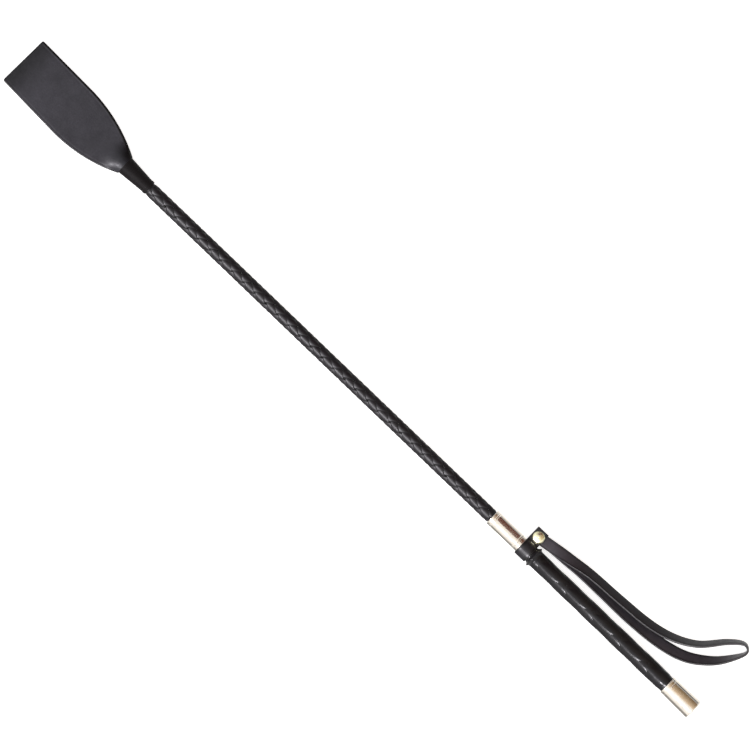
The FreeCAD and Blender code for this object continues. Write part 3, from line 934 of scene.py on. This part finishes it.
def leaf_tone(x, y, tip):
    """Painted shade: darker towards the tip, where the leaf droops away from the light,
    and dark in the hollow beside the neck.
    """
    ends = 0.30 + 0.70 * float(smooth_step(tip - x, 0.0, 20.0))
    from_x, from_y = (x - HOLLOW_SHADE_CENTRE[0]) / HOLLOW_SHADE_SPREAD[0], (y - HOLLOW_SHADE_CENTRE[1]) / HOLLOW_SHADE_SPREAD[1]
    hollow = math.exp(-from_x ** 2 - from_y ** 2)
    return ends * (1 - 0.88 * hollow)


def edge_dye_and_shade_width(x, y, tip):
    """How wide the blackened edge is: 1.1 mm of edge dye all round, and on the -Y side, away from the tip,
    wider and wider towards the neck; the added width there is painted shade on the side away from the light.
    """
    if y < 0 and tip - x > 3:
        return 2.6 + 1.3 * (1 - float(smooth_step(x, *EDGE_SHADE_FADE)))
    return 1.1


def leaf_columns(half):
    """Places across the leaf, close together near its edges where it is rounded and creased."""
    near = [0.0, 0.12, 0.3, 0.55, 0.85, 1.2, 1.45, 1.7, 1.95, 2.3, 3.0]
    fit = min(1.0, half / 9.0)
    left = [-half + d * fit for d in near]
    inner = np.linspace(-half + 4.2 * fit, half - 4.2 * fit, 21)
    return np.array(left + list(inner) + [-y for y in reversed(left)])


def make_tongue_leaf(name, side, node):
    """One leaf: side is +1 for the front and -1 for the back."""
    tip = node_span("tongue_back_leaf")[1][0]
    stations = list(np.arange(LEAF_START, NECK_END, 0.45)) + list(np.arange(NECK_END, tip - 4, 1.3))
    stations += [tip - d for d in (3.4, 2.7, 2.2, 1.95, 1.7, 1.45, 1.2, 0.85, 0.55, 0.3, 0.12, 0.0)]
    rings, places, edges, tones = [], [], [], []
    for x in stations:
        half = tongue_half_width(x)
        middle_y, middle_z = tongue_centre(x)
        face, back, paint_and_shade, tone = [], [], [], []
        for y in leaf_columns(half):
            height = leaf_height(x, y, half, tip)
            under = max(0.03, height - LEAF_CORE)
            skewed = x + TIP_SKEW * y / half * float(smooth_step(x, tip - TIP_SKEW_RUN, tip))
            face.append((skewed, middle_y + y, middle_z + side * height))
            back.append((skewed, middle_y + y, middle_z + side * under))
            inset = min(half - abs(y), tip - x)
            # The blackened edge: edge dye, and on the -Y side painted shade as well.
            paint_and_shade.append(1 - min(1.0, inset / edge_dye_and_shade_width(x, y, tip)))
            # Painted shade: darker towards the tip and in the hollow beside the neck.
            tone.append(leaf_tone(x, y, tip))
        turn = 1 if side > 0 else -1
        rings.append(face[::turn] + back[::-turn])
        edges.append(paint_and_shade[::turn] + [0.3] * len(back))
        tones.append(tone[::turn] + [1.0] * len(back))
        places.append([(p[0], p[1], side * 30.0) for p in rings[-1]])
    leaf = ring_stack(name, rings, TONGUE_LEATHER, place=places, edge=edges, tone=tones)
    attach(leaf, None, "tongue_leather", node)
    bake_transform(leaf)


# ------------------------------------------------------------------ studio

CROP_MIDDLE = Vector((0.33, 0, 0))


def facing(place, look_at):
    """The turn that makes a light or a card at a place look at a point."""
    return (Vector(place) - Vector(look_at)).to_track_quat("Z", "Y").to_euler()


def flat_sheet(name, width, length, level=0.0):
    """A level rectangle about the Z axis, and its material's nodes and shader."""
    half_w, half_l = width / 2, length / 2
    corners = [(-half_w, -half_l, level), (half_w, -half_l, level), (half_w, half_l, level),
               (-half_w, half_l, level)]
    mesh = bpy.data.meshes.new(name)
    mesh.from_pydata(corners, [], [(0, 1, 2, 3)])
    sheet = bpy.data.objects.new(name, mesh)
    bpy.context.scene.collection.objects.link(sheet)
    material, tree, shader = start_material(name)
    shader.inputs["Specular IOR Level"].default_value = 0.0
    mesh.materials.append(material)
    return sheet, tree, shader


def stage_card(name, size, place, look_at, stops):
    """A card seen only in reflections. stops are its colours, from 0 at its bottom to 1 at its top."""
    card, tree, shader = flat_sheet(name, *size)
    card.location = place
    card.rotation_euler = facing(place, look_at)
    spot = add(tree, "ShaderNodeTexCoord")
    split = add(tree, "ShaderNodeSeparateXYZ")
    tree.links.new(spot.outputs["Generated"], split.inputs[0])
    colour = ramp(tree, split.outputs["Y"], stops)
    tree.links.new(colour, shader.inputs["Emission Color"])
    shader.inputs["Emission Strength"].default_value = 1.0
    shader.inputs["Base Color"].default_value = (0, 0, 0, 1)
    card.visible_camera = False
    card.visible_shadow = False


def make_floor():
    """A white floor just under the crop, that lights nothing and shows in no reflection."""
    floor, _, shader = flat_sheet("floor", 16.0, 16.0, cad_low[2] - 0.0002)
    shader.inputs["Base Color"].default_value = (0.85, 0.85, 0.85, 1)
    shader.inputs["Roughness"].default_value = 0.9
    shader.inputs["Emission Color"].default_value = (1, 1, 1, 1)
    shader.inputs["Emission Strength"].default_value = 0.75
    floor.visible_diffuse = False
    floor.visible_glossy = False


def area_light(name, place, look_at, size, power, colour=(1, 1, 1)):
    """A rectangle of light. size is along the crop, and up."""
    data = bpy.data.lights.new(name, "AREA")
    data.shape = "RECTANGLE"
    data.size, data.size_y = size
    data.energy = power
    data.color = colour
    light = bpy.data.objects.new(name, data)
    bpy.context.scene.collection.objects.link(light)
    light.location = place
    light.rotation_euler = facing(place, look_at)
    light.visible_camera = False
    return light


def overhead(lean, swing, distance, centre=CROP_MIDDLE):
    """A place over the crop: lean is the angle off vertical, and swing turns it from +Y towards +X."""
    lean, swing = math.radians(lean), math.radians(swing)
    towards = Vector((math.sin(swing) * math.sin(lean), math.cos(swing) * math.sin(lean), math.cos(lean)))
    return centre + towards * distance


def dim_patch(tree, towards, angle, stops):
    """Less light from one direction: angle is off vertical, towards +Y, or towards -Y if it is negative."""
    angle = math.radians(angle)
    dot = add(tree, "ShaderNodeVectorMath", operation="DOT_PRODUCT")
    dot.inputs[1].default_value = (0, math.sin(angle), math.cos(angle))
    tree.links.new(towards.outputs["Generated"], dot.inputs[0])
    return ramp(tree, dot.outputs["Value"], stops)


def make_world():
    """White all round, except for a dim patch on each long side of the crop."""
    world = bpy.data.worlds.new("studio")
    world.use_nodes = True
    tree = world.node_tree
    background = tree.nodes["Background"]
    towards = add(tree, "ShaderNodeTexCoord")
    below = dim_patch(tree, towards, 128, [(0.80, 1.0), (0.94, 0.30)])
    level = dim_patch(tree, towards, -95, [(0.91, 1.0), (0.985, 0.38)])
    colour = mixed(tree, 1.0, below, level, "MULTIPLY")
    tree.links.new(colour, background.inputs["Color"])
    background.inputs["Strength"].default_value = 0.97
    bpy.context.scene.world = world


def make_studio():
    """Two gloss lights that only reflect, a key light that only fills, and cards for the metal."""
    scene = bpy.context.scene
    scene.view_settings.view_transform = "Standard"
    scene.view_settings.look = "None"
    make_world()
    make_floor()
    for name, swing in (("gloss_left", 23.5), ("gloss_right", -23.5)):
        place = overhead(lean=44.0, swing=swing, distance=8.0)
        gloss = area_light(name, place, CROP_MIDDLE, size=(1.1, 2.2), power=820.0, colour=(1.0, 0.97, 1.03))
        gloss.visible_diffuse = False
    place = overhead(lean=60, swing=0, distance=1.6)
    key = area_light("key", place, CROP_MIDDLE, size=(1.2, 0.6), power=14.5)
    key.visible_glossy = False
    target = Vector((0.55, 0, 0))
    place = overhead(lean=52, swing=180, distance=0.9, centre=target)
    stage_card("dark_card", (0.88, 1.35), place, target,
               [(0.0, (0.10, 0.030, 0.025)), (1.0, (0.13, 0.045, 0.040))])
    target = Vector((-0.38, 0, 0))
    place = overhead(lean=38.5, swing=180, distance=0.9, centre=target)
    stage_card("tan_card", (0.96, 1.55), place, target,
               [(0.0, (0.15, 0.09, 0.045)), (0.4, (0.34, 0.25, 0.155)), (0.9, (0.76, 0.60, 0.45)),
                (1.0, (0.92, 0.82, 0.68))])


make_camera()
paint_inner_nodes()
make_shaft_braid()
make_grip_plait()
make_ferrule()
make_butt_cap()
make_rivet()
make_grip_ring()
make_collar()
make_wrist_strap()
make_binding()
make_tongue_leaf("tongue_front", 1, "tongue_front_leaf")
make_tongue_leaf("tongue_back", -1, "tongue_back_leaf")
make_studio()
